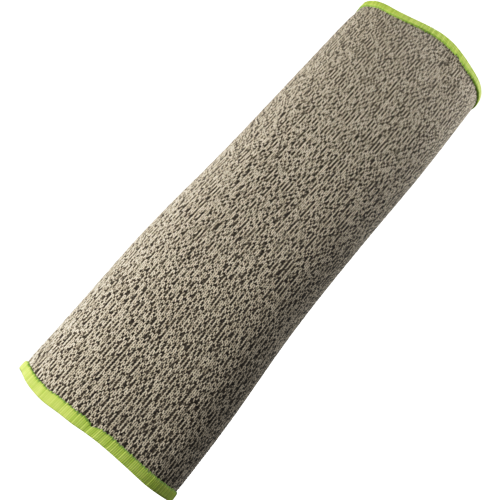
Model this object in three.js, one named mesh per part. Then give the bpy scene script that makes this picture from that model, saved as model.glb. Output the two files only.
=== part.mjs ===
// A cut resistant work sleeve, lying on a flat surface as it does when nothing is in it.
// One seamless knitted tube, with an overlock edging wrapped over the edge at each end.
//
// Units are millimetres. +X is across the sleeve, +Y runs along it from the upper arm to the
// wrist, +Z is up. The origin is on the surface it lies on, under the middle of the sleeve.

import * as THREE from 'three';

// Sleeve, as it lies
const sleeveLength = 254;
const sleeveWidth = 81;
const sleeveHeight = 41;
const floorFlattening = 1.3;

// Knitted wall
const knitWall = 1.5;

// Overlock edging
const edgingReach = 4.2;
const threadLayer = 0.7;
const threadGap = 0.3;
const hemPinch = 0.25;
const edgingRounding = 0.9;

// How far the top of each mouth reaches out past its underside
const upperArmOverhang = 3.0;
const wristOverhang = 1.0;
const mouthFade = 5;

// Length over which the underside comes down from the edging to the surface
const liftRun = 26;

// Mesh resolution
const stepsAround = 72;
const stepsAlong = 21;
const roundingSteps = 2;

// Sections from the upper arm (along 0) to the wrist (along 1).
// wide, high: shares of the sleeve's width and height.
// square: 2 is an ellipse, and more is boxier. crest: how far the top leans to +X, as a share
// of the half width. drift: the section's place across, as a share of the width.
const sectionColumns = ['along', 'wide', 'high', 'square', 'crest', 'drift'];
const sections = [
  { along: 0.0, wide: 1.0, high: 1.14, square: 2.25, crest: 0.02, drift: 0.0 },
  { along: 0.14, wide: 1.015, high: 1.04, square: 2.45, crest: 0.01, drift: -0.008 },
  { along: 0.34, wide: 1.01, high: 1.0, square: 2.6, crest: 0.0, drift: -0.026 },
  { along: 0.56, wide: 1.0, high: 0.98, square: 2.6, crest: 0.03, drift: -0.018 },
  { along: 0.78, wide: 1.01, high: 1.0, square: 2.45, crest: 0.05, drift: 0.0 },
  { along: 1.0, wide: 1.005, high: 1.08, square: 2.1, crest: 0.08, drift: 0.006 },
];

// Soft dents in the wall. along: share of the length. around: degrees from +X over the top.
// depth: share of the height. reach, spread: half sizes along (share of the length) and
// around (degrees).
const dents = [
  { along: 0.92, around: 126, depth: 0.06, reach: 0.07, spread: 22 },
  { along: 0.9, around: 60, depth: 0.03, reach: 0.05, spread: 14 },
  { along: 0.07, around: 70, depth: 0.035, reach: 0.07, spread: 22 },
  { along: 0.4, around: 20, depth: 0.03, reach: 0.12, spread: 22 },
  { along: 0.55, around: 150, depth: 0.03, reach: 0.16, spread: 24 },
];

// Gentle waves in the mouths' edges. end: -1 is the upper arm, 1 the wrist. around, spread:
// degrees. out: how far the edge stands out along the sleeve, as a share of the edging's reach.
const mouthWaves = [
  { end: -1, around: 118, out: 0.32, spread: 15 },
  { end: -1, around: 160, out: -0.3, spread: 16 },
  { end: -1, around: 45, out: 0.15, spread: 25 },
  { end: 1, around: 165, out: 0.5, spread: 28 },
  { end: 1, around: 82, out: 0.25, spread: 24 },
  { end: 1, around: 15, out: -0.45, spread: 28 },
];

const { abs, cos, sin, sign, max, min, PI, exp, hypot } = Math;
const radians = THREE.MathUtils.degToRad;

const sectionCurve = new THREE.CubicInterpolant(
  sections.map((row) => row.along),
  sections.flatMap((row) => sectionColumns.slice(1).map((name) => row[name])),
  sectionColumns.length - 1,
);

// The section's numbers at a share of the length.
function sectionAt(along) {
  const [wide, high, square, crest, drift] = sectionCurve.evaluate(min(max(along, 0), 1));
  return { wide, high, square, crest, drift };
}

// The angle from a place given in degrees, in spreads of that many degrees.
function spreadsFrom(angle, around, spread) {
  const turn = THREE.MathUtils.euclideanModulo(angle - radians(around) + PI, 2 * PI) - PI;
  return turn / radians(spread);
}

// How deep the dents press the wall in at a place, in millimetres.
function dentDepth(along, angle) {
  let depth = 0;
  for (const dent of dents) {
    const lengthways = (along - dent.along) / dent.reach;
    const crossways = spreadsFrom(angle, dent.around, dent.spread);
    depth += dent.depth * sleeveHeight * exp(-(lengthways ** 2) - crossways ** 2);
  }
  return depth;
}

// How far a place is drawn in along the sleeve from a mouth cut square, in millimetres.
function mouthSetBack(y, angle, z) {
  const end = y < 0 ? -1 : 1;
  const overhang = end < 0 ? upperArmOverhang : wristOverhang;
  let setBack = overhang * (1 - min(z / sleeveHeight, 1));
  for (const wave of mouthWaves.filter((row) => row.end === end)) {
    setBack -= wave.out * edgingReach * exp(-(spreadsFrom(angle, wave.around, wave.spread) ** 2));
  }
  const nearness = (2 * abs(y)) / sleeveLength;
  return end * setBack * nearness ** mouthFade;
}

// The underside is lifted at both mouths by what the edging stands out below the knit.
const edgingStandOut = threadLayer + threadGap - hemPinch;

function undersideLift(y) {
  const fromEnd = sleeveLength / 2 - abs(y);
  return edgingStandOut * (1 - THREE.MathUtils.smoothstep(fromEnd, edgingReach, liftRun));
}

// A point of the knit's outer outline in the plane across the sleeve at y.
function outlinePoint(y, angle) {
  const along = y / sleeveLength + 0.5;
  const section = sectionAt(along);
  const power = 2 / section.square;
  const across = sign(cos(angle)) * abs(cos(angle)) ** power;
  const upward = sign(sin(angle)) * abs(sin(angle)) ** power;
  const halfWidth = (section.wide * sleeveWidth) / 2;
  const fullHeight = section.high * sleeveHeight + floorFlattening;
  const dent = dentDepth(along, angle);
  const lean = section.crest * max(upward, 0) ** 2;
  const lift = undersideLift(y);
  const x = section.drift * sleeveWidth + halfWidth * (across + lean) - dent * cos(angle);
  const z = (fullHeight * (1 + upward)) / 2 - floorFlattening - dent * sin(angle);
  return [x, lift + max(z, 0)];
}

// The same point moved inwards, square to the outline, by an inset.
const normalStep = PI / stepsAround;

function wallPoint(y, angle, inset) {
  const [x, z] = outlinePoint(y, angle);
  const [x0, z0] = outlinePoint(y, angle - normalStep);
  const [x1, z1] = outlinePoint(y, angle + normalStep);
  const span = hypot(x1 - x0, z1 - z0);
  const setBack = mouthSetBack(y, angle, z);
  return [x - ((z1 - z0) / span) * inset, y - setBack, z + ((x1 - x0) / span) * inset];
}

// A closed body: a closed profile of [y, inset] points carried round the section.
function sweptRing(profile) {
  const positions = [];
  const faces = [];
  profile.forEach(([y, inset], i) => {
    const next = ((i + 1) % profile.length) * stepsAround;
    for (let j = 0; j < stepsAround; j += 1) {
      positions.push(...wallPoint(y, (2 * PI * j) / stepsAround, inset));
      const turn = (j + 1) % stepsAround;
      const here = i * stepsAround;
      faces.push(here + j, next + j, next + turn, here + j, next + turn, here + turn);
    }
  });
  const geometry = new THREE.BufferGeometry();
  geometry.setAttribute('position', new THREE.Float32BufferAttribute(positions, 3));
  geometry.setIndex(faces);
  geometry.computeVertexNormals();
  return geometry;
}

// The knit is a little thinner where the edging's thread draws it together.
function pinchAt(y) {
  const fromEnd = sleeveLength / 2 - abs(y);
  return hemPinch * (1 - THREE.MathUtils.smoothstep(fromEnd, edgingReach, 2 * edgingReach));
}

// The knitted tube ends inside the edgings.
function knitProfile() {
  const end = sleeveLength / 2 - threadLayer - threadGap;
  const hem = sleeveLength / 2 - edgingReach;
  const hemEnd = hem - edgingReach;
  const stations = [-end, -hem];
  for (let i = 0; i <= stepsAlong; i += 1) {
    stations.push(hemEnd * ((2 * i) / stepsAlong - 1));
  }
  stations.push(hem, end);
  const outside = stations.map((y) => [y, pinchAt(y)]);
  const inside = stations.map((y) => [y, knitWall - pinchAt(y)]);
  return [...outside, ...inside.reverse()];
}

// The edging is a channel that wraps the knit's edge: outside, round the edge and inside.
function edgingProfile(side) {
  const outside = -edgingStandOut;
  const inside = knitWall + edgingStandOut;
  const tip = sleeveLength / 2;
  const lip = tip - edgingReach;
  const channelEnd = tip - threadLayer;
  const profile = [[lip, outside]];
  for (const [corner, start] of [[outside + edgingRounding, -PI / 2], [inside - edgingRounding, 0]]) {
    for (let i = 0; i <= roundingSteps; i += 1) {
      const turn = start + (PI / 2) * (i / roundingSteps);
      profile.push([tip - edgingRounding * (1 - cos(turn)), corner + edgingRounding * sin(turn)]);
    }
  }
  profile.push([lip, inside]);
  profile.push([lip, inside - threadLayer]);
  profile.push([channelEnd, inside - threadLayer]);
  profile.push([channelEnd, outside + threadLayer]);
  profile.push([lip, outside + threadLayer]);
  return side > 0 ? profile : profile.map(([y, inset]) => [-y, inset]).reverse();
}

const knit = new THREE.MeshStandardMaterial({ color: '#8f8473', roughness: 0.95, metalness: 0 });
const thread = new THREE.MeshStandardMaterial({ color: '#a9cf3d', roughness: 0.7, metalness: 0 });

function addPiece(parent, name, profile, material) {
  const mesh = new THREE.Mesh(sweptRing(profile), material);
  mesh.name = name;
  parent.add(mesh);
}

const sleeve = new THREE.Group();
addPiece(sleeve, 'knit_tube', knitProfile(), knit);
addPiece(sleeve, 'upper_arm_edging', edgingProfile(-1), thread);
addPiece(sleeve, 'wrist_edging', edgingProfile(1), thread);

// The drift, the dents and the waves move the sleeve's middle, so it is centred here.
const middle = new THREE.Box3().setFromObject(sleeve).getCenter(new THREE.Vector3());
sleeve.position.set(-middle.x, -middle.y, 0);

const group = new THREE.Group();
group.add(sleeve);

export default group;
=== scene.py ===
"""A cut resistant knitted work sleeve, lying on a pale table.

The sleeve is one knitted tube with an overlock edging wrapped round each mouth. The knit is
modelled stitch by stitch: 128 wales of V shaped stitches, two legs to a wale. Sizes are
millimetres in the classes and become metres where a mesh takes its places.
"""

import logging
import math
from dataclasses import dataclass, field, replace
from enum import Enum

import bpy
import numpy as np
from mathutils import Matrix, Vector


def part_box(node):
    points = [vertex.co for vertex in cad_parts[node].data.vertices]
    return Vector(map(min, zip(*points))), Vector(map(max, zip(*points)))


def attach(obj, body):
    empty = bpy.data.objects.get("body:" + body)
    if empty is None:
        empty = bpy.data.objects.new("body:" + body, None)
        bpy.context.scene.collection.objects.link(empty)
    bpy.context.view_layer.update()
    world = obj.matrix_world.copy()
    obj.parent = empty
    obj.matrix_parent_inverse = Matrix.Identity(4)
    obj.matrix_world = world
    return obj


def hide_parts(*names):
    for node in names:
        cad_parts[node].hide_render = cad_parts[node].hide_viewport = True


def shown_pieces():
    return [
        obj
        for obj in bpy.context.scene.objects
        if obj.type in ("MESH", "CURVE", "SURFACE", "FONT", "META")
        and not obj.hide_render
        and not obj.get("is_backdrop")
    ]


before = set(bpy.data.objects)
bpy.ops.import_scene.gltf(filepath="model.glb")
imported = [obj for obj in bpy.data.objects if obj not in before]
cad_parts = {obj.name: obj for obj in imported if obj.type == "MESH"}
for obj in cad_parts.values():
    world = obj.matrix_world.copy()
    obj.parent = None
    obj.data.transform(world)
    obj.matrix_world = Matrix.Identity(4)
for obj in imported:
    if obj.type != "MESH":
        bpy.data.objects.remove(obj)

MM = 0.001
BODY = "root"
STITCH_MAP = "Stitches"
WRAP_MAP = "Wrap"
BAKE_MAP = "OFBake"
FINE_ANGLES = 1441
WALES = 128
COURSES = 196

# Blender's names for the kinds of node that are used most
MATH = "ShaderNodeMath"
VECTOR_MATH = "ShaderNodeVectorMath"
NOISE = "ShaderNodeTexNoise"
WHITE_NOISE = "ShaderNodeTexWhiteNoise"
MAP_RANGE = "ShaderNodeMapRange"
MIX = "ShaderNodeMix"
JOIN = "ShaderNodeCombineXYZ"
GREY = "ShaderNodeCombineColor"
BUMP = "ShaderNodeBump"
# A Mix node's colour output; its colour inputs are 6 and 7
MIXED_COLOUR = 2

log = logging.getLogger("sleeve")


class MouthEnd(Enum):
    """The sleeve's two open ends; the value is the side of the origin that it lies on."""

    UPPER_ARM = -1
    WRIST = 1


class KnitSide(Enum):
    """The two sides of a plain jersey knit."""

    FACE = "face"
    PURL = "purl"


# ---------------------------------------------------------------------------------------------
# Small helpers


def linear(code: str) -> tuple[float, float, float, float]:
    """Turns an sRGB hex colour to a linear one.

    Args:
        code: six hex digits after a hash sign.

    Returns:
        Linear red, green and blue, and 1 for alpha.
    """
    parts = [int(code[i : i + 2], 16) / 255 for i in (1, 3, 5)]
    made = [c / 12.92 if c <= 0.04045 else ((c + 0.055) / 1.055) ** 2.4 for c in parts]
    return (made[0], made[1], made[2], 1.0)


def add_node(
    tree: bpy.types.NodeTree, kind: str, inputs: dict | None = None, out: int | str = 0, **settings
) -> bpy.types.NodeSocket:
    """Adds a node with its settings, and fills or links its inputs.

    Args:
        tree: the node tree it goes into.
        kind: the node's type name.
        inputs: a value or a socket for each input, by name or number.
        out: the output that is wanted.
        **settings: the node's own properties.

    Returns:
        The wanted output socket; its node is the socket's .node.
    """
    node = tree.nodes.new(kind)
    for name, value in settings.items():
        setattr(node, name, value)
    for key, value in (inputs or {}).items():
        if isinstance(value, bpy.types.NodeSocket):
            tree.links.new(value, node.inputs[key])
        else:
            node.inputs[key].default_value = value
    return node.outputs[out]


def new_material(
    name: str,
) -> tuple[bpy.types.Material, bpy.types.NodeTree, bpy.types.Node]:
    """Makes a material; returns it, its node tree and its Principled shader."""
    made = bpy.data.materials.new(name)
    made.use_nodes = True
    return made, made.node_tree, made.node_tree.nodes["Principled BSDF"]


def smoothstep(x: np.ndarray, low: float, high: float) -> np.ndarray:
    """Rises smoothly from 0 at low to 1 at high."""
    t = np.clip((x - low) / (high - low), 0.0, 1.0)
    return t * t * (3 - 2 * t)


def deselect_all() -> None:
    """Leaves nothing selected, in object mode."""
    if bpy.context.object and bpy.context.object.mode != "OBJECT":
        bpy.ops.object.mode_set(mode="OBJECT")
    bpy.ops.object.select_all(action="DESELECT")


def bake_table(columns: int, heights: np.ndarray) -> np.ndarray:
    """The unit square's map for a grid: rows x columns x 2, with a height for each row."""
    return np.stack(np.meshgrid(np.linspace(0, 1, columns), heights), axis=-1)


def grid_piece(
    name: str, places: np.ndarray, maps: dict[str, np.ndarray], closed: bool
) -> bpy.types.Object:
    """Adds a grid and moves each of its vertices to its place in a table.

    Args:
        name: the piece's name.
        places: rows x columns x 3, in metres.
        maps: rows x columns x 2 for each UV map.
        closed: True where the last row and column meet the first; they are then merged.

    Returns:
        The new object, at the origin, shaded smooth.
    """
    rows, columns = places.shape[0] - 1, places.shape[1] - 1
    deselect_all()
    bpy.ops.mesh.primitive_grid_add(
        x_subdivisions=columns, y_subdivisions=rows, size=1.0, calc_uvs=False
    )
    obj = bpy.context.object
    obj.name = name
    obj.data.name = name
    mesh = obj.data
    start = np.empty(len(mesh.vertices) * 3, np.float32)
    mesh.vertices.foreach_get("co", start)
    start = start.reshape(-1, 3)
    column = np.rint((start[:, 0] + 0.5) * columns).astype(int)
    row = np.rint((start[:, 1] + 0.5) * rows).astype(int)
    mesh.vertices.foreach_set("co", places[row, column].astype(np.float32).ravel())
    corner = np.empty(len(mesh.loops), np.int32)
    mesh.loops.foreach_get("vertex_index", corner)
    for map_name, table in maps.items():
        layer = mesh.uv_layers.new(name=map_name)
        layer.data.foreach_set("uv", table[row, column][corner].astype(np.float32).ravel())
    mesh.update()
    bpy.ops.object.shade_smooth()
    if closed:
        bpy.ops.object.mode_set(mode="EDIT")
        bpy.ops.mesh.select_all(action="SELECT")
        bpy.ops.mesh.remove_doubles(threshold=2e-6)
        bpy.ops.mesh.normals_make_consistent(inside=False)
        bpy.ops.object.mode_set(mode="OBJECT")
    return obj


# ---------------------------------------------------------------------------------------------
# The form that the sleeve lies in


@dataclass(frozen=True)
class Section:
    """One section across the sleeve.

    along is 0 at the upper arm and 1 at the wrist. wide and high are shares of the sleeve's
    width and height. square is 2 for an ellipse and more for a boxier one. crest is how far the
    top leans to +X, a share of the half width, and drift its place across, a share of the width.
    """

    along: float
    wide: float
    high: float
    square: float
    crest: float
    drift: float


@dataclass(frozen=True)
class Dent:
    """A soft dent: place along and around (degrees), depth (share of the height), half sizes."""

    along: float
    around: float
    depth: float
    reach: float
    spread: float


@dataclass(frozen=True)
class MouthWave:
    """A gentle wave in a mouth's edge, out as a share of the edging's reach."""

    end: MouthEnd
    around: float
    out: float
    spread: float


@dataclass(frozen=True)
class Crease:
    """A narrow crease between two places (millimetres along, degrees round); depth and width.

    It is deepest at its start, and shallower by the share called fading at its end.
    """

    start: tuple[float, float]
    end: tuple[float, float]
    depth: float
    width: float
    fading: float = 0.6


@dataclass
class SleeveForm:
    """The resting form, in millimetres.

    It is the solids' own form with a few shapes added: a sag in the wrist mouth's upper side,
    one crease, and small dents and waves (small_dents, creases and small_waves).
    """

    length: float = 254.0
    width: float = 81.0
    height: float = 41.0
    flattening: float = 1.3
    wall: float = 1.5
    edging_reach: float = 4.2
    edging_stand_out: float = 0.75
    pinch: float = 0.25
    knit_end_gap: float = 1.0
    overhang: dict[MouthEnd, float] = field(
        default_factory=lambda: {MouthEnd.UPPER_ARM: 3.0, MouthEnd.WRIST: 1.0}
    )
    mouth_fade: float = 5.0
    lift_run: float = 26.0
    normal_step: float = math.pi / 72
    solid_columns: int = 72
    solid_rows: int = 60
    sections: tuple[Section, ...] = (
        Section(0.0, 1.0, 1.14, 2.25, 0.02, 0.0),
        Section(0.14, 1.015, 1.04, 2.45, 0.01, -0.008),
        Section(0.34, 1.01, 1.0, 2.6, 0.0, -0.026),
        Section(0.56, 1.0, 0.98, 2.6, 0.03, -0.018),
        Section(0.78, 1.01, 1.0, 2.45, 0.05, 0.0),
        Section(1.0, 1.005, 1.08, 2.1, 0.08, 0.006),
    )
    dents: tuple[Dent, ...] = (
        Dent(0.92, 126, 0.06, 0.07, 22),
        Dent(0.9, 60, 0.03, 0.05, 14),
        Dent(0.07, 70, 0.035, 0.07, 22),
        Dent(0.4, 20, 0.03, 0.12, 22),
        Dent(0.55, 150, 0.03, 0.16, 24),
    )
    small_dents: tuple[Dent, ...] = (
        Dent(1.01, 176, 0.035, 0.05, 20),
        Dent(0.92, 126, -0.04, 0.07, 22),
        Dent(1.04, 92, 0.15, 0.09, 28),
        Dent(0.985, 78, 0.035, 0.06, 22),
    )
    creases: tuple[Crease, ...] = (Crease((119.0, 67.0), (92.0, 83.0), 2.2, 2.0),)
    mean_radius: float = 33.0
    waves: tuple[MouthWave, ...] = (
        MouthWave(MouthEnd.UPPER_ARM, 118, 0.32, 15),
        MouthWave(MouthEnd.UPPER_ARM, 160, -0.3, 16),
        MouthWave(MouthEnd.UPPER_ARM, 45, 0.15, 25),
        MouthWave(MouthEnd.WRIST, 165, 0.5, 28),
        MouthWave(MouthEnd.WRIST, 82, 0.25, 24),
        MouthWave(MouthEnd.WRIST, 15, -0.45, 28),
    )
    small_waves: tuple[MouthWave, ...] = (
        MouthWave(MouthEnd.UPPER_ARM, 160, -0.3, 16),
        MouthWave(MouthEnd.UPPER_ARM, 98, 0.16, 9),
        MouthWave(MouthEnd.UPPER_ARM, 182, -0.35, 14),
        MouthWave(MouthEnd.WRIST, 170, 0.85, 14),
        MouthWave(MouthEnd.WRIST, 143, 0.55, 18),
        MouthWave(MouthEnd.WRIST, 88, 1.4, 26),
        MouthWave(MouthEnd.WRIST, 50, -0.35, 18),
    )
    shift: tuple[float, float] = (0.0, 0.0)

    def section_at(self, along: np.ndarray) -> np.ndarray:
        """Follows a smooth curve through the sections.

        Args:
            along: shares of the length.

        Returns:
            wide, high, square, crest and drift, each in the shape of along.
        """
        at = np.array([s.along for s in self.sections])
        rows = np.array([[s.wide, s.high, s.square, s.crest, s.drift] for s in self.sections])
        x = np.clip(along, 0.0, 1.0)
        i = np.clip(np.searchsorted(at, x, side="right") - 1, 0, len(at) - 2)
        t0, t1 = at[i], at[i + 1]
        first, last = i == 0, i == len(at) - 2
        before, after = np.where(first, i + 1, i - 1), np.where(last, i, i + 2)
        w0 = 0.5 * (t1 - t0) / (t0 - at[before])
        w1 = 0.5 * (t1 - t0) / (at[after] - t1)
        p = (x - t0) / (t1 - t0)
        shares = (
            (before, w0 * (-(p**3) + 2 * p**2 - p)),
            (i, (1 + w0) * p**3 + (-1.5 - 2 * w0) * p**2 + (-0.5 + w0) * p + 1),
            (i + 1, (-1 - w1) * p**3 + (1.5 + w1) * p**2 + 0.5 * p),
            (after, w1 * (p**3 - p**2)),
        )
        return sum(rows.T[:, row] * share for row, share in shares)

    def dent_depth(self, along: np.ndarray, angle: np.ndarray) -> np.ndarray:
        """How deep the dents press the wall in, in millimetres."""
        depth = 0.0
        for dent in self.dents + self.small_dents:
            lengthways = (along - dent.along) / dent.reach
            crossways = spreads_from(angle, dent.around, dent.spread)
            depth = depth + dent.depth * self.height * np.exp(-(lengthways**2) - crossways**2)
        return depth

    def crease_depth(self, y: np.ndarray, angle: np.ndarray) -> np.ndarray:
        """How deep the creases press the wall in, in millimetres."""
        depth = 0.0
        for crease in self.creases:
            run = crease.end[0] - crease.start[0]
            sweep = math.radians(crease.end[1] - crease.start[1]) * self.mean_radius
            ahead = y - crease.start[0]
            aside = spreads_from(angle, crease.start[1], math.degrees(1 / self.mean_radius))
            share = np.clip((ahead * run + aside * sweep) / (run**2 + sweep**2), 0, 1)
            off = np.hypot(ahead - share * run, aside - share * sweep) / crease.width
            depth = depth + crease.depth * (1 - crease.fading * share) * np.exp(-(off**2))
        return depth

    def mouth_set_back(self, y: np.ndarray, angle: np.ndarray, z: np.ndarray) -> np.ndarray:
        """How far a place is drawn in along the sleeve from a mouth cut square."""
        made = np.zeros(np.broadcast(y, angle, z).shape)
        for end in MouthEnd:
            back = self.overhang[end] * (1 - np.minimum(z / self.height, 1))
            for wave in self.waves + self.small_waves:
                if wave.end is end:
                    spreads = spreads_from(angle, wave.around, wave.spread)
                    back = back - wave.out * self.edging_reach * np.exp(-(spreads**2))
            made = np.where(np.sign(y) == end.value, end.value * back, made)
        return made * (2 * np.abs(y) / self.length) ** self.mouth_fade

    def outline(self, y: np.ndarray, angle: np.ndarray) -> tuple[np.ndarray, np.ndarray]:
        """The knit's outer outline in the plane across the sleeve at y.

        Args:
            y: places along the sleeve, from its middle.
            angle: radians from +X over the top.

        Returns:
            x and z.
        """
        along = y / self.length + 0.5
        wide, high, square, crest, drift = self.section_at(along)
        power = 2 / square
        across = np.sign(np.cos(angle)) * np.abs(np.cos(angle)) ** power
        upward = np.sign(np.sin(angle)) * np.abs(np.sin(angle)) ** power
        dent = self.dent_depth(along, angle) + self.crease_depth(y, angle)
        lean = crest * np.maximum(upward, 0) ** 2
        full = high * self.height + self.flattening
        from_end = self.length / 2 - np.abs(y)
        lift = self.edging_stand_out * (1 - smoothstep(from_end, self.edging_reach, self.lift_run))
        half = wide * self.width / 2
        x = drift * self.width + half * (across + lean) - dent * np.cos(angle)
        z = full * (1 + upward) / 2 - self.flattening - dent * np.sin(angle)
        return x, lift + np.maximum(z, 0)

    def place(self, y: np.ndarray, angle: np.ndarray, inset: np.ndarray) -> np.ndarray:
        """A point of the wall.

        Args:
            y: places along the sleeve before the mouths' waves.
            angle: radians from +X over the top.
            inset: millimetres inwards from the knit's outer face, square to it.

        Returns:
            Places in metres, with the sleeve's middle over the origin.
        """
        y, angle, inset = np.broadcast_arrays(y, angle, inset)
        x, z = self.outline(y, angle)
        x0, z0 = self.outline(y, angle - self.normal_step)
        x1, z1 = self.outline(y, angle + self.normal_step)
        span = np.hypot(x1 - x0, z1 - z0)
        back = self.mouth_set_back(y, angle, z)
        made = np.stack(
            [
                x - (z1 - z0) / span * inset + self.shift[0],
                y - back + self.shift[1],
                z + (x1 - x0) / span * inset,
            ],
            axis=-1,
        )
        return made * MM

    def even_angles(self, y: np.ndarray, columns: int) -> np.ndarray:
        """Angles that share each section's outline out evenly.

        Args:
            y: one place along the sleeve for each row.
            columns: how many equal parts the outline is shared into.

        Returns:
            rows x (columns + 1) angles, from 0 to a full turn.
        """
        fine = np.linspace(0, 2 * np.pi, FINE_ANGLES)
        shares = np.linspace(0, 1, columns + 1)
        made = np.empty((len(y), columns + 1))
        for i, place in enumerate(y):
            x, z = self.outline(np.full_like(fine, place), fine)
            run = np.concatenate([[0], np.cumsum(np.hypot(np.diff(x), np.diff(z)))])
            made[i] = np.interp(shares, run / run[-1], fine)
        return made

    def girth(self, y: float) -> float:
        """The length round the outline at y, in millimetres."""
        fine = np.linspace(0, 2 * np.pi, FINE_ANGLES)
        x, z = self.outline(np.full_like(fine, y), fine)
        return float(np.hypot(np.diff(x), np.diff(z)).sum())

    def centre_over(self, low: Vector, high: Vector) -> None:
        """Moves the form to where the solids stand, by the box of their knit.

        Args:
            low: the box's lowest corner, in metres.
            high: its highest corner.
        """
        angle = np.arange(self.solid_columns) * 2 * np.pi / self.solid_columns
        end = self.length / 2 - self.knit_end_gap
        y = np.linspace(-end, end, self.solid_rows)[:, None]
        plain = replace(self, small_dents=(), small_waves=(), creases=())
        made = plain.place(y, angle[None, :], np.zeros((1, 1))).reshape(-1, 3)
        middle = (made.min(0) + made.max(0)) / 2
        wanted = (low + high) / 2
        self.shift = ((wanted.x - middle[0]) / MM, (wanted.y - middle[1]) / MM)


def spreads_from(angle: np.ndarray, around: float, spread: float) -> np.ndarray:
    """The angle from a place given in degrees, in spreads of that many degrees."""
    turn = np.mod(angle - math.radians(around) + math.pi, 2 * math.pi) - math.pi
    return turn / math.radians(spread)


# ---------------------------------------------------------------------------------------------
# Finishes


@dataclass(frozen=True)
class MarledYarn:
    """Marled cut resistant yarn in plain jersey: a tan strand twisted with a near-black one.

    Two strands of different colour are twisted together and knitted at 13 gauge. The eye sees
    short tan and dark dashes down the wales, matt, with a little fuzz. The pattern's unit is a
    leg of a stitch across (0.8 mm) and a course along (1.3 mm), as on the real knit.
    """

    light: str = "#f7e9d0"
    light_deep: str = "#cfc0a6"
    dark: str = "#272019"
    dark_pale: str = "#504536"
    drawn: str = "#887f6e"
    drawn_share: float = 0.27
    drawn_from: float = 125.0
    wander: tuple[float, float, float] = (0.5, 1.4, 0.0)
    wander_scale: float = 0.4
    shear: float = 0.36
    lean: float = 0.5
    stroke_core: float = 0.14
    stroke_edge: float = 0.46
    gap_shade: float = 0.1
    dark_below: float = 0.2
    tan_above: float = 0.38
    left_dark_odds: float = 0.36
    run_weight: float = 0.5
    run_scale: float = 0.5
    column_apart: float = 7.31
    swap_layer: float = 5.0
    twist_slant: float = 0.5
    twist_climb: float = 0.4
    chance_weight: float = 0.35
    twist_weight: float = 0.2
    fibre_weight: float = 0.4
    fibre_scale: tuple[float, float, float] = (9.0, 1.6, 1.0)
    twist_height: float = 0.4
    leg_height: float = 1.2
    bar_height: float = 2.0
    relief: float = 0.08
    relief_strength: float = 0.6
    roughness: float = 0.93
    specular: float = 0.25
    sheen: float = 0.2
    sheen_roughness: float = 0.45

    def material(self, side: KnitSide) -> bpy.types.Material:
        """Makes the knit's material.

        Args:
            side: the side of the knit that shows.

        Returns:
            The material; it reads the stitch map, one unit to a leg across and a course along.
        """
        made, tree, shader = new_material(f"marled_jersey_yarn_{side.value}")
        uv = add_node(tree, "ShaderNodeUVMap", uv_map=STITCH_MAP)
        # No two stitches are quite alike: the pattern wanders about a tenth of a leg across and
        # a third of a course along
        cloud = {"Vector": uv, "Scale": self.wander_scale, "Detail": 1.0}
        wander = add_node(tree, NOISE, cloud, "Color")
        wander = add_node(
            tree, VECTOR_MATH, {0: wander, 1: (0.5, 0.5, 0.5)}, operation="SUBTRACT"
        )
        place = add_node(
            tree, VECTOR_MATH, {0: wander, 1: self.wander, 2: uv}, operation="MULTIPLY_ADD"
        )
        u = add_node(tree, "ShaderNodeSeparateXYZ", {0: place}, "X")
        v = u.node.outputs["Y"]
        leg = add_node(tree, MATH, {0: u}, operation="FLOOR")
        # 0 at a wale's edge and 1 down its middle, so the two legs of a stitch mirror each other
        fold = add_node(tree, MATH, {0: u, 1: 1.0}, operation="PINGPONG")
        odd = add_node(tree, MATH, {0: leg, 1: 2.0}, operation="MODULO")
        sheared = add_node(tree, MATH, {0: fold, 1: self.shear, 2: v}, operation="MULTIPLY_ADD")
        course = add_node(tree, MATH, {0: sheared}, operation="FLOOR")
        climb = add_node(tree, MATH, {0: sheared}, operation="FRACT")
        cell = add_node(tree, JOIN, {0: leg, 1: course})
        chance = add_node(tree, WHITE_NOISE, {"Vector": cell}, "Value")
        tint = add_node(
            tree, "ShaderNodeSeparateColor", {0: chance.node.outputs["Color"]}, "Red"
        )
        turn = tint.node.outputs["Green"]
        # The strands change places within a stitch, so where one leg shows the tan strand the
        # other often shows the dark one; either may show for two or three courses running
        half = add_node(tree, MATH, {0: u, 1: 0.5}, operation="MULTIPLY")
        wale = add_node(tree, MATH, {0: half}, operation="FLOOR")
        stitch = add_node(tree, JOIN, {0: wale, 1: course, 2: self.swap_layer})
        swap = add_node(tree, WHITE_NOISE, {"Vector": stitch}, "Value")
        column = add_node(tree, MATH, {0: wale, 1: self.column_apart}, operation="MULTIPLY")
        run = add_node(tree, MATH, {0: sheared, 1: self.run_scale}, operation="MULTIPLY")
        along = add_node(tree, JOIN, {0: column, 1: run})
        drift = add_node(tree, NOISE, {"Vector": along, "Scale": 1.0, "Detail": 1.0})
        odds = {0: drift, 1: self.run_weight, 2: swap}
        odds = add_node(tree, MATH, odds, operation="MULTIPLY_ADD")
        # The left leg shows the tan strand somewhat more often
        even = self.left_dark_odds + self.run_weight / 2
        odds = add_node(tree, MATH, {0: odds, 1: even}, operation="SUBTRACT")
        sign = add_node(tree, MATH, {0: odd, 1: -2.0, 2: 1.0}, operation="MULTIPLY_ADD")
        # The twist of the two strands crosses each leg on a slant
        slant = {0: fold, 1: self.twist_slant, 2: turn}
        slant = add_node(tree, MATH, slant, operation="MULTIPLY_ADD")
        phase = {0: climb, 1: self.twist_climb, 2: slant}
        phase = add_node(tree, MATH, phase, operation="MULTIPLY_ADD")
        whole = add_node(tree, MATH, {0: phase, 1: math.tau}, operation="MULTIPLY")
        twist = add_node(tree, MATH, {0: whole}, operation="SINE")
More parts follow.
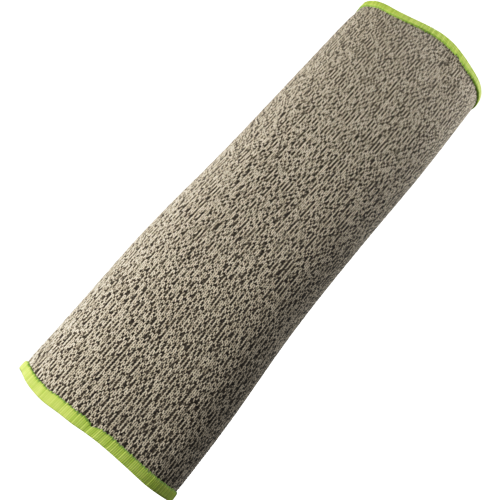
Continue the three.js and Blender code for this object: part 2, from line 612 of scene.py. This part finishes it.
        # Fibres lie along the yarn. Real ones are finer: these are 0.1 mm wide, so that they show
        fibre = add_node(tree, VECTOR_MATH, {0: uv, 1: self.fibre_scale}, operation="MULTIPLY")
        fibre = add_node(tree, NOISE, {"Vector": fibre, "Scale": 1.0, "Detail": 2.0})
        total = add_node(tree, MATH, {0: odds, 1: sign}, operation="MULTIPLY")
        for part, weight in (
            (chance, self.chance_weight),
            (twist, self.twist_weight),
            (fibre, self.fibre_weight),
        ):
            total = add_node(tree, MATH, {0: part, 1: weight, 2: total}, operation="MULTIPLY_ADD")
        share = add_node(
            tree,
            MAP_RANGE,
            {"Value": total, "From Min": self.dark_below, "From Max": self.tan_above},
            interpolation_type="SMOOTHSTEP",
        )
        pale = {0: tint, 6: linear(self.light_deep), 7: linear(self.light)}
        pale = add_node(tree, MIX, pale, MIXED_COLOUR, data_type="RGBA")
        deep = {0: tint, 6: linear(self.dark), 7: linear(self.dark_pale)}
        deep = add_node(tree, MIX, deep, MIXED_COLOUR, data_type="RGBA")
        yarn = add_node(tree, MIX, {0: share, 6: deep, 7: pale}, MIXED_COLOUR, data_type="RGBA")
        # Each leg leans from its wale's middle out to the edge as it climbs. Painted shade darkens
        # the colour between the legs, where less light reaches
        middle = {0: climb, 1: -self.lean, 2: 0.5 + self.lean / 2}
        middle = add_node(tree, MATH, middle, operation="MULTIPLY_ADD")
        away = add_node(tree, MATH, {0: fold, 1: middle}, operation="SUBTRACT")
        away = add_node(tree, MATH, {0: away}, operation="ABSOLUTE")
        ends = {"From Min": self.stroke_core, "From Max": self.stroke_edge}
        open_share = add_node(
            tree,
            MAP_RANGE,
            {"Value": away, **ends, "To Min": 1.0, "To Max": self.gap_shade},
            interpolation_type="SMOOTHSTEP",
        )
        shade = add_node(tree, GREY, {0: open_share, 1: open_share, 2: open_share})
        colour = {0: 1.0, 6: yarn, 7: shade}
        colour = add_node(
            tree, MIX, colour, MIXED_COLOUR, data_type="RGBA", blend_type="MULTIPLY"
        )
        # Toward the wrist the knit is drawn tighter and its two colours blend more
        ends = {"From Min": self.drawn_from, "From Max": float(COURSES)}
        drawn_in = add_node(tree, MAP_RANGE, {"Value": v, **ends, "To Max": self.drawn_share})
        colour = {0: drawn_in, 6: colour, 7: linear(self.drawn)}
        colour = add_node(tree, MIX, colour, MIXED_COLOUR, data_type="RGBA")
        tree.links.new(colour, shader.inputs["Base Color"])
        ply = {0: twist, 1: self.twist_height, 2: fibre}
        ply = add_node(tree, MATH, ply, operation="MULTIPLY_ADD")
        ply = {0: open_share, 1: self.leg_height, 2: ply}
        ply = add_node(tree, MATH, ply, operation="MULTIPLY_ADD")
        if side is KnitSide.PURL:
            # On the back the loops' heads show as short bars across the wales
            bar = add_node(tree, MATH, {0: climb, 1: 0.5}, operation="PINGPONG")
            ply = {0: bar, 1: self.bar_height, 2: ply}
            ply = add_node(tree, MATH, ply, operation="MULTIPLY_ADD")
        relief = {"Strength": self.relief_strength, "Distance": self.relief * MM, "Height": ply}
        tree.links.new(add_node(tree, BUMP, relief), shader.inputs["Normal"])
        shader.inputs["Roughness"].default_value = self.roughness
        shader.inputs["Specular IOR Level"].default_value = self.specular
        shader.inputs["Sheen Weight"].default_value = self.sheen
        shader.inputs["Sheen Roughness"].default_value = self.sheen_roughness
        return made


@dataclass(frozen=True)
class OverlockThread:
    """Textured polyester overlock thread, dyed lime green.

    Bulked filament laid closely side by side. The eye sees a soft bright band with fine ridges
    across it, yellower over the edge and deeper green where the needle thread draws it down.
    The pattern's unit is a thread across (0.8 mm) and a millimetre along.
    """

    bright: str = "#e2fa70"
    usual: str = "#ccf253"
    deep: str = "#7fb540"
    lip_line: str = "#9dd04c"
    cloud_scale: tuple[float, float, float] = (0.3, 0.5, 1.0)
    chance_in_glow: float = 0.45
    glow_from: float = 0.45
    needle_line: float = 1.6
    needle_fade: float = 0.7
    chance_in_line: float = 0.5
    cloud_in_line: float = 1.6
    lip_from: float = 0.75
    lip_to: float = 1.15
    lip_share: float = 0.8
    groove_span: float = 0.34
    groove_shade: float = 0.62
    darkest_thread_share: float = 0.74
    fibre_scale: tuple[float, float, float] = (7.0, 2.0, 1.0)
    relief: float = 0.08
    relief_strength: float = 0.5
    roughness: float = 0.55
    specular: float = 0.35
    sheen: float = 0.15
    sheen_roughness: float = 0.4

    def material(self) -> bpy.types.Material:
        """Makes the thread's material.

        Returns:
            The material; it reads the wrap map, one unit to a thread and one to a millimetre.
        """
        made, tree, shader = new_material("lime_overlock_thread")
        uv = add_node(tree, "ShaderNodeUVMap", uv_map=WRAP_MAP)
        u = add_node(tree, "ShaderNodeSeparateXYZ", {0: uv}, "X")
        v = u.node.outputs["Y"]
        thread = add_node(tree, MATH, {0: u}, operation="FLOOR")
        chance = add_node(tree, WHITE_NOISE, {"W": thread}, "Value", noise_dimensions="1D")
        cloud = add_node(tree, VECTOR_MATH, {0: uv, 1: self.cloud_scale}, operation="MULTIPLY")
        cloud = add_node(tree, NOISE, {"Vector": cloud, "Scale": 1.0, "Detail": 2.0})
        glow = {0: chance, 1: self.chance_in_glow, 2: cloud}
        glow = add_node(tree, MATH, glow, operation="MULTIPLY_ADD")
        ends = {"From Min": self.glow_from, "From Max": 1.0}
        glow = add_node(tree, MAP_RANGE, {"Value": glow, **ends})
        lime = {0: glow, 6: linear(self.usual), 7: linear(self.bright)}
        lime = add_node(tree, MIX, lime, MIXED_COLOUR, data_type="RGBA")
        # The needle's line lies about a millimetre in from the lip, in deeper green, and the
        # looper's thread makes a thin line along the lip itself, paler than the needle's
        zone = {0: chance, 1: self.chance_in_line, 2: v}
        zone = add_node(tree, MATH, zone, operation="MULTIPLY_ADD")
        zone = {0: cloud, 1: self.cloud_in_line, 2: zone}
        zone = add_node(tree, MATH, zone, operation="MULTIPLY_ADD")
        ends = {"From Min": self.needle_line, "From Max": self.needle_line + self.needle_fade}
        outer = add_node(
            tree, MAP_RANGE, {"Value": zone, **ends}, interpolation_type="SMOOTHSTEP"
        )
        band = {0: outer, 6: linear(self.deep), 7: lime}
        band = add_node(tree, MIX, band, MIXED_COLOUR, data_type="RGBA")
        ends = {"From Min": self.lip_from, "From Max": self.lip_to}
        at_lip = {"Value": v, **ends, "To Min": self.lip_share, "To Max": 0.0}
        at_lip = add_node(tree, MAP_RANGE, at_lip)
        band = {0: at_lip, 6: band, 7: linear(self.lip_line)}
        band = add_node(tree, MIX, band, MIXED_COLOUR, data_type="RGBA")
        # Painted shade: the colour darkens in the grooves between the threads
        edge = add_node(tree, MATH, {0: u, 1: 0.5}, operation="PINGPONG")
        ends = {"From Min": 0.0, "From Max": self.groove_span, "To Min": self.groove_shade}
        open_share = add_node(
            tree,
            MAP_RANGE,
            {"Value": edge, **ends, "To Max": 1.0},
            interpolation_type="SMOOTHSTEP",
        )
        # Some threads are a little darker than their neighbours, at random
        low = self.darkest_thread_share
        height = add_node(tree, MATH, {0: chance, 1: 1 - low, 2: low}, operation="MULTIPLY_ADD")
        open_share = add_node(tree, MATH, {0: open_share, 1: height}, operation="MULTIPLY")
        shade = add_node(tree, GREY, {0: open_share, 1: open_share, 2: open_share})
        colour = {0: 1.0, 6: band, 7: shade}
        colour = add_node(
            tree, MIX, colour, MIXED_COLOUR, data_type="RGBA", blend_type="MULTIPLY"
        )
        tree.links.new(colour, shader.inputs["Base Color"])
        # Filaments of the bulked thread. Real ones are finer: these are 0.1 mm, so that they show
        fibre = add_node(tree, VECTOR_MATH, {0: uv, 1: self.fibre_scale}, operation="MULTIPLY")
        fibre = add_node(tree, NOISE, {"Vector": fibre, "Scale": 1.0, "Detail": 2.0})
        relief = {"Strength": self.relief_strength, "Distance": self.relief * MM, "Height": fibre}
        tree.links.new(add_node(tree, BUMP, relief), shader.inputs["Normal"])
        shader.inputs["Roughness"].default_value = self.roughness
        shader.inputs["Specular IOR Level"].default_value = self.specular
        shader.inputs["Sheen Weight"].default_value = self.sheen
        shader.inputs["Sheen Roughness"].default_value = self.sheen_roughness
        return made


@dataclass(frozen=True)
class PaleTable:
    """Matt white laminate table top: almost flat to the eye, the faintest mottle, 30 to 1 m."""

    white: str = "#fbfbfa"
    mottle: str = "#f6f6f5"
    mottle_scale: float = 30.0
    roughness: float = 0.8
    specular: float = 0.1

    def material(self) -> bpy.types.Material:
        """Makes the table's material."""
        made, tree, shader = new_material("matt_white_laminate")
        place = add_node(tree, "ShaderNodeTexCoord", out="Object")
        cloud = add_node(tree, NOISE, {"Vector": place, "Scale": self.mottle_scale})
        colour = {0: cloud, 6: linear(self.white), 7: linear(self.mottle)}
        colour = add_node(tree, MIX, colour, MIXED_COLOUR, data_type="RGBA")
        tree.links.new(colour, shader.inputs["Base Color"])
        shader.inputs["Roughness"].default_value = self.roughness
        shader.inputs["Specular IOR Level"].default_value = self.specular
        return made


# ---------------------------------------------------------------------------------------------
# The sleeve's pieces


@dataclass
class JerseyKnit:
    """The knitted tube: a wall with the purl side inside, and the stitches of its face."""

    form: SleeveForm
    yarn: MarledYarn
    wales: int = WALES
    courses: int = COURSES
    groove_depth: float = 0.4
    ground_depth: float = 0.52
    purl_relief: float = 0.13
    uneven: float = 0.16
    groove_uneven: float = 0.3
    ridge_end: float = 0.5
    groove_middle: float = 0.16
    wale_middle: float = 0.12
    stations: int = 85
    ground_rows: int = 29
    seed: int = 13

    def stitch_tables(self) -> tuple[np.ndarray, np.ndarray, np.ndarray]:
        """Works out every vertex of the knit's face.

        The grid has two columns to a leg (groove and ridge) and two rows to a course, and its
        rows zigzag from wale to wale, so that the legs lean into V shapes.

        Returns:
            Places in metres, normals, and the stitch map.
        """
        legs = 2 * self.wales
        end = self.form.length / 2 - self.form.knit_end_gap
        column = np.arange(2 * legs + 1)[None, :]
        row = np.arange(2 * self.courses + 1)[:, None]
        u = column / 2
        fold = 1 - np.abs(np.mod(u, 2) - 1)
        v = row / 2 - self.yarn.shear * fold
        y = np.clip((v / self.courses * 2 - 1) * end, -end, end)
        table = self.form.even_angles(np.linspace(-end, end, self.stations), 2 * legs)
        at = (y + end) / (2 * end) * (self.stations - 1)
        low = np.minimum(at.astype(int), self.stations - 2)
        part = at - low
        angle = table[low, column] * (1 - part) + table[low + 1, column] * part
        ridge = np.mod(column, 2) == 1
        middle = np.mod(row, 2) == 1
        height = np.where(middle, self.groove_middle, 0.0)
        height = np.where(ridge, np.where(middle, 1.0, self.ridge_end), height)
        height = height + np.where(np.mod(column, 4) == 2, self.wale_middle, 0.0)
        chance = np.random.default_rng(self.seed).normal(0, self.uneven, height.shape)
        chance[:, -1] = chance[:, 0]
        height = height + np.where(ridge, chance, self.groove_uneven * chance)
        from_end = self.form.length / 2 - np.abs(y)
        reach = self.form.edging_reach
        pinch = self.form.pinch * (1 - smoothstep(from_end, reach, 2 * reach))
        inset = pinch + self.groove_depth * (1 - height)
        places = self.form.place(y, angle, inset)
        across = np.empty_like(places)
        across[:, 1:-1] = places[:, 2:] - places[:, :-2]
        across[:, 0] = across[:, -1] = places[:, 1] - places[:, -2]
        along = np.gradient(places, axis=0)
        normals = np.cross(along, across)
        normals /= np.linalg.norm(normals, axis=-1, keepdims=True)
        return places, normals, np.stack(np.broadcast_arrays(u, v), axis=-1)

    def build_face(self) -> list[bpy.types.Object]:
        """Builds the face in four pieces: above and below, upper arm and wrist.

        Returns:
            The four pieces, whose borders share their places and normals.
        """
        places, normals, stitches = self.stitch_tables()
        half_around = 2 * self.wales
        half_along = self.courses
        material = self.yarn.material(KnitSide.FACE)
        made = []
        for part, rows in (
            ("upper_arm", slice(0, half_along + 1)),
            ("wrist", slice(half_along, 2 * half_along + 1)),
        ):
            for side, columns in (
                ("over", slice(0, half_around + 1)),
                ("under", slice(half_around, 2 * half_around + 1)),
            ):
                cut = (rows, columns)
                tall, wide = places[cut].shape[:2]
                # Rows run along +Y and columns from +X over the top, which faces inwards
                flipped = (slice(None), slice(None, None, -1))
                bake = bake_table(wide, np.linspace(0, 1, tall))
                piece = grid_piece(
                    f"knit_face_{part}_{side}",
                    places[cut][flipped],
                    {STITCH_MAP: stitches[cut][flipped], BAKE_MAP: bake},
                    closed=False,
                )
                # The whole knit's normals, so that the four borders shade as one surface
                whole = normals[cut][flipped].reshape(-1, 3).astype(np.float32)
                piece.data.normals_split_custom_set_from_vertices(whole)
                piece.data.materials.append(material)
                made.append(piece)
        return made

    def build_wall(self) -> bpy.types.Object:
        """Builds the closed wall that carries the stitches, its inside the purl side.

        Returns:
            The wall.
        """
        legs = 2 * self.wales
        end = self.form.length / 2 - self.form.knit_end_gap
        outer = np.linspace(-end, end, self.ground_rows)
        inner = np.linspace(end, -end, self.courses + 1)
        y = np.concatenate([outer, inner, outer[:1]])
        is_inner = np.repeat([False, True, False], [len(outer), len(inner), 1])
        angle = self.form.even_angles(y, legs)
        column = np.arange(legs + 1)[None, :]
        row = np.arange(len(y))[:, None]
        bump = np.where(np.mod(column + row, 2) == 0, 1.0, -1.0) * self.purl_relief
        inset = np.where(is_inner[:, None], self.form.wall + bump, self.ground_depth)
        places = self.form.place(y[:, None], angle, inset)
        v = (y / end + 1) / 2 * self.courses
        stitches = np.stack(np.broadcast_arrays(column.astype(float), v[:, None]), axis=-1)
        bake = bake_table(legs + 1, np.linspace(0, 1, len(y)))
        piece = grid_piece(
            "knit_wall", places, {STITCH_MAP: stitches, BAKE_MAP: bake}, closed=True
        )
        piece.data.materials.append(self.yarn.material(KnitSide.PURL))
        return piece


@dataclass(frozen=True)
class Pucker:
    """A place where the edging is drawn up: degrees around, millimetres wide, lip and lift."""

    around: float
    spread: float
    lip: float
    lift: float


@dataclass
class OverlockEdging:
    """The overlock edging round one mouth: threads wrapped closely over the knit's edge."""

    form: SleeveForm
    thread: OverlockThread
    end: MouthEnd
    puckers: tuple[Pucker, ...] = ()
    threads: int = 256
    columns_per_thread: int = 5
    groove: float = 0.32
    slant: float = 0.16
    tooth: float = 0.28
    lip_spread: float = 0.0
    lip_uneven: float = 0.12
    thread_uneven: float = 0.16
    thinnest: float = 0.5
    thickest: float = 1.4
    rounding: float = 0.9
    girth_from_tip: float = 1.0
    seed: int = 5

    def profile(self) -> np.ndarray:
        """The wrap's path: outer lip, over the edge and down to the inner lip.

        Returns:
            Rows of millimetres from the tip, inset, and how much of the ridges shows.
        """
        out = -self.form.edging_stand_out
        into = self.form.wall + self.form.edging_stand_out
        reach = self.form.edging_reach
        lip = [(reach, 0.25, 0.5), (reach, -0.2, 0.8), (reach - 0.25, out + 0.25, 1.0)]
        crown = [
            (reach - d, out + 0.12 - 0.1 * math.sin(math.pi * d / reach), 1.0)
            for d in (0.7, 1.15, 1.6, 2.1, 2.6, 3.0)
        ]
        over = []
        for corner, start in ((out + self.rounding, -0.5), (into - self.rounding, 0.0)):
            for i in range(5):
                turn = math.pi * (start + 0.5 * i / 4)
                from_tip = self.rounding * (1 - math.cos(turn))
                over.append((from_tip, corner + self.rounding * math.sin(turn), 1.0))
        inside = [(d, into, 1.0) for d in (1.6, 2.4, 3.2)]
        inner_lip = [(reach - 0.2, into - 0.25, 0.8), (reach, self.form.wall - 0.2, 0.4)]
        return np.array(lip + crown + over + inside + inner_lip + lip[:1])

    def build(self) -> bpy.types.Object:
        """Builds the edging as one closed ring.

        Returns:
            The edging.
        """
        form, side = self.form, self.end.value
        path = self.profile()
        tip = form.length / 2
        columns = self.threads * self.columns_per_thread
        rng = np.random.default_rng(self.seed)
        girth_at = side * (tip - self.girth_from_tip)
        table = form.even_angles(np.array([girth_at]), columns)[0]
        run = np.concatenate([[0], np.cumsum(np.hypot(*np.diff(path[:, :2], axis=0).T))])
        column = np.arange(columns + 1)
        lean = self.slant * self.columns_per_thread * run[:, None]
        lean[-1] = lean[0]
        place = (column[None, :] + lean) / columns
        turns = np.floor(place)
        angle = np.interp(place - turns, np.linspace(0, 1, columns + 1), table)
        angle = angle + turns * math.tau
        thread = np.mod(column // self.columns_per_thread, self.threads)
        phase = np.mod(column, self.columns_per_thread) / self.columns_per_thread
        ridge = np.sqrt(np.clip(1 - (2 * phase - 1) ** 2, 0, 1))
        tall = rng.normal(1.0, self.thread_uneven, self.threads)[thread]
        ridge = ridge * np.clip(tall, self.thinnest, self.thickest)
        every_other = np.where(np.arange(self.threads) % 2 == 0, 0.5, -0.5)
        reach = rng.normal(0.0, self.lip_uneven, self.threads) + self.tooth * every_other
        reach = reach[thread] + self.lip_spread
        lift = np.zeros(columns + 1)
        around = np.degrees(table)
        girth = form.girth(girth_at)
        for pucker in self.puckers:
            away = np.mod(around - pucker.around + 180, 360) - 180
            bell = np.exp(-((away / 360 * girth / pucker.spread) ** 2))
            reach = reach - pucker.lip * bell
            lift = lift + pucker.lift * bell
        share = np.clip(path[:, 0:1] / form.edging_reach, 0, 1)
        from_tip = path[:, 0:1] + reach[None, :] * share**2
        shown = path[:, 2:3]
        outward = np.where(path[:, 1:2] < form.wall / 2, -1.0, 1.0)
        sink = self.groove * shown * (1 - ridge[None, :])
        inset = path[:, 1:2] - outward * sink + outward * lift[None, :]
        inset[-1] = inset[0]
        places = form.place(side * (tip - from_tip), angle, inset)
        wrap = np.stack(
            np.broadcast_arrays(column[None, :] / self.columns_per_thread, run[:, None]), axis=-1
        )
        bake = bake_table(columns + 1, run / run[-1])
        name = "upper_arm_edging_thread" if side < 0 else "wrist_edging_thread"
        piece = grid_piece(name, places, {WRAP_MAP: wrap, BAKE_MAP: bake}, closed=True)
        piece.data.materials.append(self.thread.material())
        return piece


@dataclass
class WorkSleeve:
    """The whole sleeve."""

    form: SleeveForm
    knit: JerseyKnit
    edgings: tuple[OverlockEdging, ...]

    def build(self) -> None:
        face = self.knit.build_face()
        wall = self.knit.build_wall()
        for piece in [wall, *face]:
            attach(piece, BODY)
            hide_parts("knit_tube")
            log.info("%s: %d faces", piece.name, len(piece.data.polygons))
        for edging in self.edgings:
            ring = edging.build()
            node = "upper_arm_edging" if edging.end is MouthEnd.UPPER_ARM else "wrist_edging"
            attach(ring, BODY)
            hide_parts(node)
            log.info("%s: %d faces", ring.name, len(ring.data.polygons))
        girth = self.form.girth(0.0) - math.pi * self.form.wall


# ---------------------------------------------------------------------------------------------
# Table, light and camera


class Lit(Enum):
    """What a light falls on; the even light on the table casts no shadow there."""

    SLEEVE = "sleeve"
    TABLE = "table"
    TABLE_EVENLY = "table_evenly"


@dataclass(frozen=True)
class SoftLight:
    """A square softbox. Places and size are millimetres, power is watts."""

    name: str
    lit: Lit
    place: tuple[float, float, float]
    size: float
    power: float
    colour: str
    aim: tuple[float, float, float] = (0.0, 0.0, 20.0)

    def build(self, receivers: bpy.types.Collection) -> None:
        """Adds the light, hidden from the camera itself.

        Args:
            receivers: the objects that it falls on.
        """
        place = Vector(self.place) * MM
        bpy.ops.object.light_add(type="AREA", location=place)
        lamp = bpy.context.object
        lamp.name = self.name
        lamp.rotation_euler = (place - Vector(self.aim) * MM).to_track_quat("Z", "Y").to_euler()
        lamp.data.shape = "SQUARE"
        lamp.data.size = self.size * MM
        lamp.data.energy = self.power
        lamp.data.color = linear(self.colour)[:3]
        lamp.visible_camera = False
        lamp.light_linking.receiver_collection = receivers
        if self.lit is Lit.TABLE_EVENLY:
            lamp.light_linking.blocker_collection = receivers


@dataclass(frozen=True)
class Studio:
    """The table, the lights and the sky round them."""

    table: PaleTable
    lights: tuple[SoftLight, ...]
    sky: str = "#ffffff"
    sky_strength: float = 0.12
    table_size: float = 6000.0
    table_below: float = 0.2

    def build(self) -> None:
        """Adds the table, the lights and the sky.

        The softboxes and fills fall on the sleeve and the two wide lights on the table, so the
        table stays pale and even while the sleeve keeps its light side and its dark side.
        """
        groups = {lit: bpy.data.collections.new(f"lit_{lit.value}") for lit in Lit}
        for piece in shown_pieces():
            groups[Lit.SLEEVE].objects.link(piece)
        deselect_all()
        bpy.ops.mesh.primitive_plane_add(
            size=self.table_size * MM, location=(0, 0, -self.table_below * MM)
        )
        top = bpy.context.object
        top.name = "table_top"
        bpy.ops.object.transform_apply(location=True, rotation=False, scale=False)
        top.data.materials.append(self.table.material())
        top.visible_diffuse = False
        top.visible_glossy = False
        top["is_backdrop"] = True
        groups[Lit.TABLE].objects.link(top)
        groups[Lit.TABLE_EVENLY].objects.link(top)
        for light in self.lights:
            light.build(groups[light.lit])
        world = bpy.data.worlds.new("studio_sky")
        world.use_nodes = True
        sky = world.node_tree.nodes["Background"]
        sky.inputs["Color"].default_value = linear(self.sky)
        sky.inputs["Strength"].default_value = self.sky_strength
        bpy.context.scene.world = world
        self.tone()

    @staticmethod
    def tone() -> None:
        """Gives the picture a photograph's soft shoulder: the brightest tones are drawn in."""
        view = bpy.context.scene.view_settings
        view.view_transform = "Standard"
        view.use_curve_mapping = True
        mapping = view.curve_mapping
        mapping.white_level = (2.0, 2.0, 2.0)
        points = mapping.curves[3].points
        for x, y in ((0.1, 0.2), (0.2, 0.39), (0.35, 0.62), (0.5, 0.77), (0.7, 0.91)):
            points.new(x, y)
        mapping.update()


@dataclass(frozen=True)
class StudioCamera:
    """The camera: its aim in millimetres, its place by angles (degrees), and its focal length."""

    aim: tuple[float, float, float] = (-0.8, -16.1, 15.0)
    distance: float = 346.6
    azimuth: float = 20.3
    elevation: float = 67.1
    roll: float = 40.2
    focal_pixels: float = 738.1
    picture_pixels: float = 500.0
    sensor: float = 36.0
    clip_start: float = 10.0

    def build(self) -> None:
        """Adds the camera and makes it the scene's."""
        az, el, roll = (math.radians(x) for x in (self.azimuth, self.elevation, self.roll))
        back = Vector((math.cos(el) * math.sin(az), -math.cos(el) * math.cos(az), math.sin(el)))
        right = Vector((0, 1, 0)).cross(back).normalized()
        up = back.cross(right)
        rolled_right = right * math.cos(roll) + up * math.sin(roll)
        rolled_up = up * math.cos(roll) - right * math.sin(roll)
        place = (Vector(self.aim) + back * self.distance) * MM
        turn = Matrix((rolled_right, rolled_up, back)).transposed()
        bpy.ops.object.camera_add()
        camera = bpy.context.object
        camera.name = "studio_camera"
        camera.matrix_world = Matrix.Translation(place) @ turn.to_4x4()
        camera.data.sensor_width = self.sensor
        camera.data.lens = self.sensor * self.focal_pixels / self.picture_pixels
        camera.data.clip_start = self.clip_start * MM
        bpy.context.scene.camera = camera


def main() -> None:
    """Builds the sleeve, the studio and the camera in order."""
    logging.basicConfig(level=logging.INFO, format="%(name)s: %(message)s")
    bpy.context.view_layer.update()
    form = SleeveForm()
    form.centre_over(*(Vector(corner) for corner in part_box("knit_tube")))
    log.info("form centred by %.3f, %.3f mm", *form.shift)
    sleeve = WorkSleeve(
        form,
        JerseyKnit(form, MarledYarn()),
        (
            OverlockEdging(
                form,
                OverlockThread(),
                MouthEnd.UPPER_ARM,
                (Pucker(90, 1.3, 1.2, -0.15),),
                lip_spread=0.55,
                seed=5,
            ),
            OverlockEdging(
                form,
                OverlockThread(needle_line=1.2),
                MouthEnd.WRIST,
                (Pucker(65, 1.4, 0.8, 0.0),),
                lip_spread=-0.3,
                seed=8,
            ),
        ),
    )
    sleeve.build()
    Studio(
        PaleTable(),
        (
            SoftLight("key_softbox", Lit.SLEEVE, (-380, -170, 300), 240, 3.3, "#fffdf8"),
            SoftLight("low_softbox", Lit.SLEEVE, (-380, -170, 90), 240, 0.9, "#fffdf8"),
            SoftLight("far_fill", Lit.SLEEVE, (240, 330, 110), 200, 0.19, "#ffffff"),
            SoftLight(
                "far_side_fill", Lit.SLEEVE, (120, 220, 75), 80, 0.32, "#ffffff", (30, 115, 25)
            ),
            SoftLight("table_softbox", Lit.TABLE, (0, 0, 2500), 2500, 50, "#ffffff"),
            SoftLight("table_wash", Lit.TABLE_EVENLY, (0, 0, 2500), 2500, 250, "#ffffff"),
        ),
    ).build()
    StudioCamera().build()


if __name__ == "__main__":
    main()
